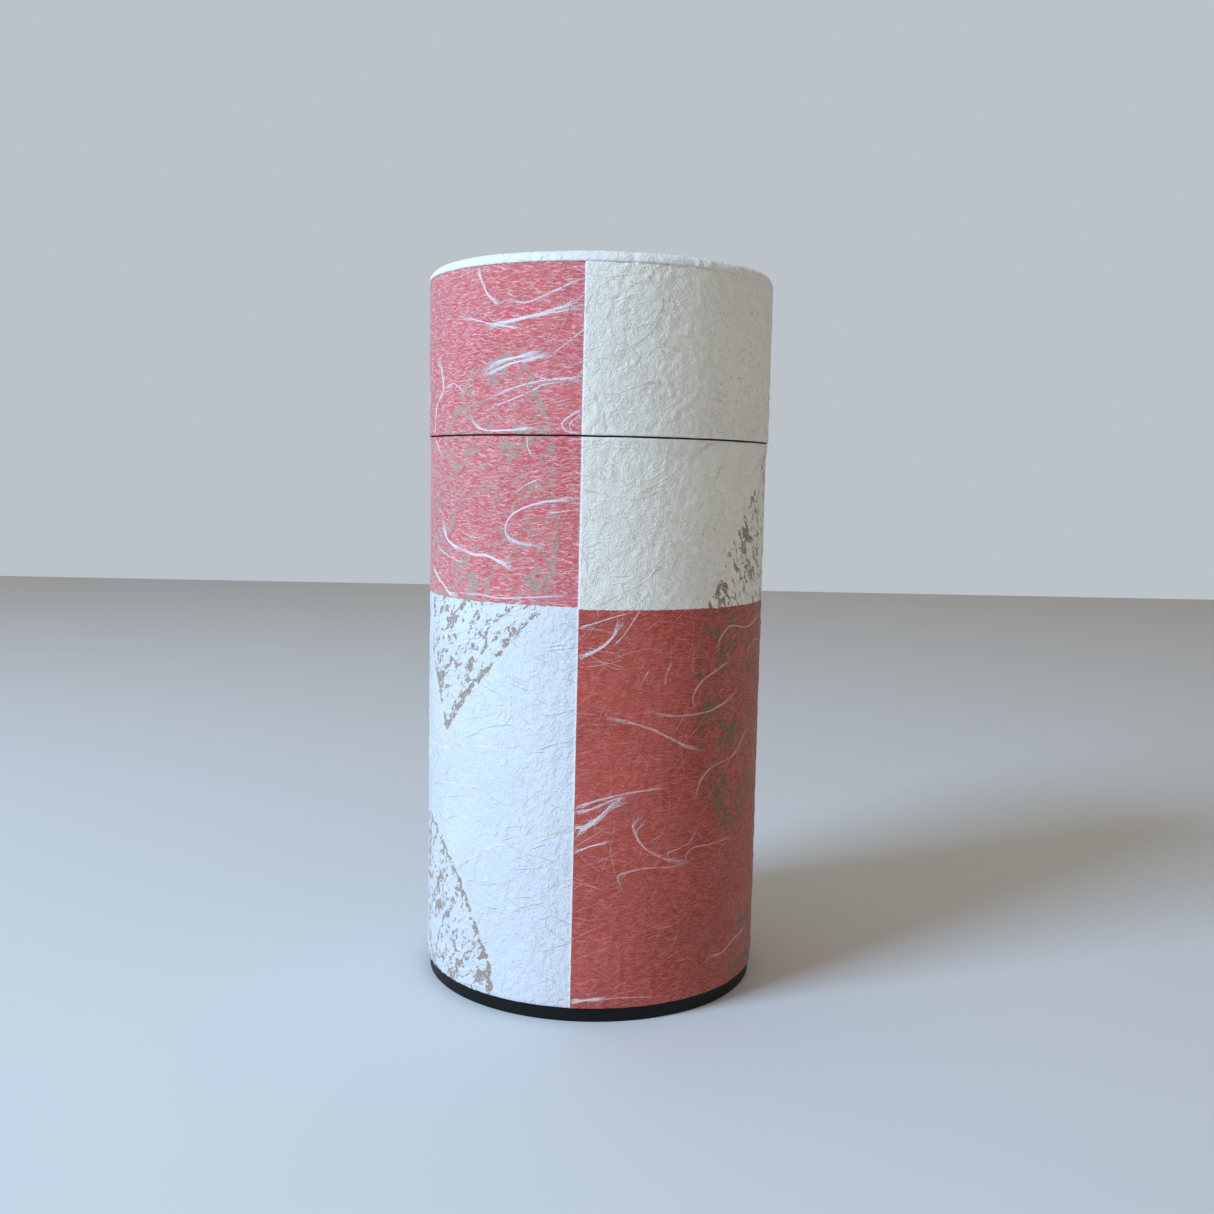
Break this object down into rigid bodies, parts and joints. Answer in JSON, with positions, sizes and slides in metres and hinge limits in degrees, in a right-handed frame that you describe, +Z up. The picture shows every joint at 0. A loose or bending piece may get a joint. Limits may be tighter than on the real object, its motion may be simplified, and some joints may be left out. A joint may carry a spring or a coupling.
{
  "type": "tea caddy",
  "caption": "Tall round paper-covered tin tea canister with a slip-on cap lid, a knobbed inner lid inside the neck and a dark inset foot.",
  "frame": {"origin": "centre of the foot's underside, on the surface that the canister stands on", "axes": "+Z up along the canister's axis; the corner where the four checks meet faces -Y, with +X to the right of someone who looks at it"},
  "size_m": [0.0814, 0.0814, 0.1671],
  "materials": {
    "tinplate": "bright rolled tinplate",
    "turned_tin": "satin turned metal",
    "black_enamel": "satin black enamel",
    "printed_paper": "matte washi, coral and white checks with a leaf print",
    "white_paper": "matte creped white washi"
  },
  "bodies": {
    "body": {"base_cap": "black_enamel", "inner_can_floor": "tinplate", "inner_can_wall": "tinplate", "outer_sleeve": "tinplate", "body_washi": "printed_paper"},
    "lid": {"lid_wall": "tinplate", "lid_top_plate": "tinplate", "lid_side_washi": "printed_paper", "lid_top_washi": "white_paper"},
    "inner_lid": {"inner_lid_dish": "tinplate", "knob": "turned_tin", "knob_washer": "turned_tin", "knob_rivet": "turned_tin"}
  },
  "joints": [
    {"name": "lid_lift", "type": "slide", "parent": "body", "child": "lid", "axis": [0, 0, 1], "range_m": [0, 0.15]},
    {"name": "inner_lid_lift", "type": "slide", "parent": "body", "child": "inner_lid", "axis": [0, 0, 1], "range_m": [0, 0.0675]}
  ],
  "couplings": [
    {"joint": "inner_lid_lift", "follows": "lid_lift", "ratio": 0.45}
  ]
}
